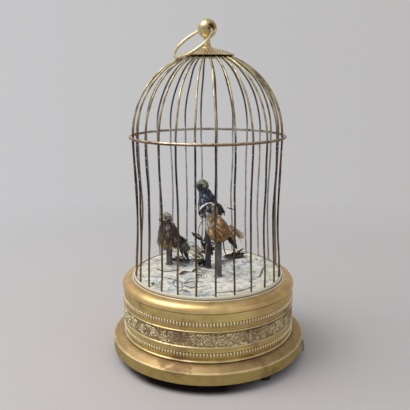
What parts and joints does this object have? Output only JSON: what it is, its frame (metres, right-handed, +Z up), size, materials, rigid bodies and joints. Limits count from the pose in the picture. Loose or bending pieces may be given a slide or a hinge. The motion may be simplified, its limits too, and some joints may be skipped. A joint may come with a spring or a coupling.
{
  "type": "singing bird automaton",
  "caption": "Small birds on posts inside a domed brass wire cage, on a drum base with clockwork, bellows and whistle.",
  "frame": {"origin": "middle of the floor under the object, on the cage's axis", "axes": "+Z up; the carrying ring swings about +Y; the picture looks from 22 degrees left of -Y"},
  "size_m": [0.16, 0.1594, 0.2706],
  "materials": {
    "polished_brass": "polished, worn bright on edges, brown tarnish in patches",
    "olive_brass": "dull pressed brass with dark tarnish in the relief",
    "dark_brass": "old lacquered brass wire, mostly brown",
    "movement_brass": "brushed",
    "steel": "plain, slightly oiled",
    "blackened_foot": "black enamel",
    "painted_tray": "old grey-white paint over embossed tin",
    "grey_tube": "grey dull paint",
    "brown_feather": "streaked feather",
    "tawny_feather": "rust and olive feather",
    "blue_feather": "speckled dark blue feather",
    "beak_black": "black lacquered",
    "bellows_leather": "thin pale skin",
    "bellows_wood": "plain"
  },
  "bodies": {
    "housing": {"cage_wire_01": "dark_brass", "cage_wire_02": "dark_brass", "cage_wire_03": "dark_brass", "cage_wire_04": "dark_brass", "cage_wire_05": "dark_brass", "cage_wire_06": "dark_brass", "cage_wire_07": "dark_brass", "cage_wire_08": "dark_brass", "cage_wire_09": "dark_brass", "cage_wire_10": "dark_brass", "cage_wire_11": "dark_brass", "cage_wire_12": "dark_brass", "cage_wire_13": "dark_brass", "cage_hoop": "olive_brass", "crown_collar": "dark_brass", "crown_cap": "polished_brass", "finial": "polished_brass", "cage_foot_ring": "dark_brass", "shoulder_moulding": "polished_brass", "drum_band": "olive_brass", "plinth": "polished_brass", "ground_tray": "painted_tray", "bottom_plate": "steel", "foot_1": "blackened_foot", "foot_2": "blackened_foot", "foot_3": "blackened_foot", "movement_lower_plate": "movement_brass", "movement_upper_plate": "movement_brass", "bellows_fixed_board": "bellows_wood", "bellows_leather": "bellows_leather", "whistle_tube": "movement_brass", "brown_bird_post": "grey_tube", "brown_bird_body": "brown_feather", "tawny_bird_post": "grey_tube", "tawny_bird_body": "tawny_feather", "blue_bird_post": "grey_tube", "blue_bird_body": "blue_feather"},
    "carrying_ring": {"carrying_ring": "polished_brass"},
    "winding_key": {"winding_key": "steel", "barrel_arbor": "steel"},
    "click": {"click": "steel"},
    "stop_lever": {"stop_lever": "steel"},
    "mainspring_barrel": {"mainspring_barrel": "movement_brass"},
    "cam_stack": {"cam_stack": "movement_brass"},
    "air_fly": {"air_fly": "movement_brass"},
    "bellows_moving_board": {"bellows_moving_board": "bellows_wood"},
    "whistle_piston": {"whistle_piston": "steel"},
    "rocker": {"rocker": "movement_brass"},
    "brown_bird_head": {"brown_bird_head": "brown_feather"},
    "brown_bird_beak": {"brown_bird_beak": "beak_black"},
    "brown_bird_tail": {"brown_bird_tail": "brown_feather"},
    "brown_bird_push_rod": {"brown_bird_push_rod": "steel"},
    "tawny_bird_head": {"tawny_bird_head": "tawny_feather"},
    "tawny_bird_beak": {"tawny_bird_beak": "beak_black"},
    "tawny_bird_tail": {"tawny_bird_tail": "tawny_feather"},
    "tawny_bird_push_rod": {"tawny_bird_push_rod": "steel"},
    "blue_bird_head": {"blue_bird_head": "blue_feather"},
    "blue_bird_beak": {"blue_bird_beak": "beak_black"},
    "blue_bird_tail": {"blue_bird_tail": "blue_feather"},
    "blue_bird_push_rod": {"blue_bird_push_rod": "steel"}
  },
  "joints": [
    {"name": "carrying_ring_swing", "type": "hinge", "parent": "housing", "child": "carrying_ring", "pos_m": [0, 0, 0.2632], "axis": [-0.1392, 0.9903, 0], "range_deg": [0, 259]},
    {"name": "winding_key_turn", "type": "hinge", "parent": "housing", "child": "winding_key", "pos_m": [0, 0, 0.01], "axis": [0, 0, 1], "range_deg": [0, 1080]},
    {"name": "click_lift", "type": "hinge", "parent": "housing", "child": "click", "pos_m": [0.015, -0.0125, 0.0156], "axis": [0, 0, -1], "range_deg": [0, 10]},
    {"name": "stop_lever_turn", "type": "hinge", "parent": "housing", "child": "stop_lever", "pos_m": [0.05324, -0.03728, 0.0116], "axis": [0, 0, 1], "range_deg": [0, 12]},
    {"name": "barrel_spin", "type": "hinge", "parent": "housing", "child": "mainspring_barrel", "pos_m": [0, 0, 0.03], "axis": [0, 0, 1], "range_deg": [-1080, 0]},
    {"name": "cam_spin", "type": "hinge", "parent": "housing", "child": "cam_stack", "pos_m": [0, -0.0275, 0.03], "axis": [0, 0, 1], "range_deg": [0, 4320]},
    {"name": "fly_spin", "type": "hinge", "parent": "housing", "child": "air_fly", "pos_m": [0.0187, -0.03431, 0.03], "axis": [0, 0, 1], "continuous": true},
    {"name": "bellows_open", "type": "hinge", "parent": "housing", "child": "bellows_moving_board", "pos_m": [-0.02, 0.042, 0.0499], "axis": [0, -1, 0], "range_deg": [0, 8], "deforming": ["bellows_leather"]},
    {"name": "whistle_piston_slide", "type": "slide", "parent": "housing", "child": "whistle_piston", "axis": [1, 0, 0], "range_m": [0, 0.008]},
    {"name": "rocker_tilt", "type": "hinge", "parent": "housing", "child": "rocker", "pos_m": [0.03, 0, 0.052], "axis": [0, 1, 0], "range_deg": [0, 2.2]},
    {"name": "brown_bird_head_turn", "type": "hinge", "parent": "housing", "child": "brown_bird_head", "pos_m": [-0.0275, 0.0257, 0.1066], "axis": [0, 0, 1], "range_deg": [-30, 30]},
    {"name": "brown_bird_beak_open", "type": "hinge", "parent": "brown_bird_head", "child": "brown_bird_beak", "pos_m": [-0.03179, 0.02547, 0.1088], "axis": [0.0523, -0.9986, 0], "range_deg": [0, 16]},
    {"name": "brown_bird_tail_lift", "type": "hinge", "parent": "housing", "child": "brown_bird_tail", "pos_m": [-0.01828, 0.02618, 0.09323], "axis": [0.0523, -0.9986, 0], "range_deg": [0, 12]},
    {"name": "brown_bird_rod_lift", "type": "slide", "parent": "housing", "child": "brown_bird_push_rod", "axis": [0, 0, 1], "range_m": [0, 0.0022]},
    {"name": "tawny_bird_head_turn", "type": "hinge", "parent": "housing", "child": "tawny_bird_head", "pos_m": [-0.00406, -0.01681, 0.1206], "axis": [0, 0, 1], "range_deg": [-30, 30]},
    {"name": "tawny_bird_beak_open", "type": "hinge", "parent": "tawny_bird_head", "child": "tawny_bird_beak", "pos_m": [-0.00827, -0.01592, 0.1228], "axis": [-0.2079, -0.9781, 0], "range_deg": [0, 16]},
    {"name": "tawny_bird_tail_lift", "type": "hinge", "parent": "housing", "child": "tawny_bird_tail", "pos_m": [0.00968, -0.01973, 0.11016], "axis": [-0.2079, -0.9781, 0], "range_deg": [0, 12]},
    {"name": "tawny_bird_rod_lift", "type": "slide", "parent": "housing", "child": "tawny_bird_push_rod", "axis": [0, 0, 1], "range_m": [0, 0.0022]},
    {"name": "blue_bird_head_turn", "type": "hinge", "parent": "housing", "child": "blue_bird_head", "pos_m": [-0.00062, 0.00765, 0.1362], "axis": [0, 0, 1], "range_deg": [-30, 30]},
    {"name": "blue_bird_beak_open", "type": "hinge", "parent": "blue_bird_head", "child": "blue_bird_beak", "pos_m": [-0.00483, 0.00854, 0.1384], "axis": [-0.2079, -0.9781, 0], "range_deg": [0, 16]},
    {"name": "blue_bird_tail_lift", "type": "hinge", "parent": "housing", "child": "blue_bird_tail", "pos_m": [0.01016, 0.00536, 0.12334], "axis": [-0.2079, -0.9781, 0], "range_deg": [0, 12]},
    {"name": "blue_bird_rod_lift", "type": "slide", "parent": "housing", "child": "blue_bird_push_rod", "axis": [0, 0, 1], "range_m": [0, 0.0022]}
  ],
  "couplings": [
    {"joint": "barrel_spin", "follows": "cam_spin", "ratio": -0.25},
    {"joint": "brown_bird_rod_lift", "follows": "rocker_tilt", "m_per_rad": 0.0555},
    {"joint": "tawny_bird_rod_lift", "follows": "rocker_tilt", "m_per_rad": 0.028},
    {"joint": "blue_bird_rod_lift", "follows": "rocker_tilt", "m_per_rad": 0.0271}
  ]
}
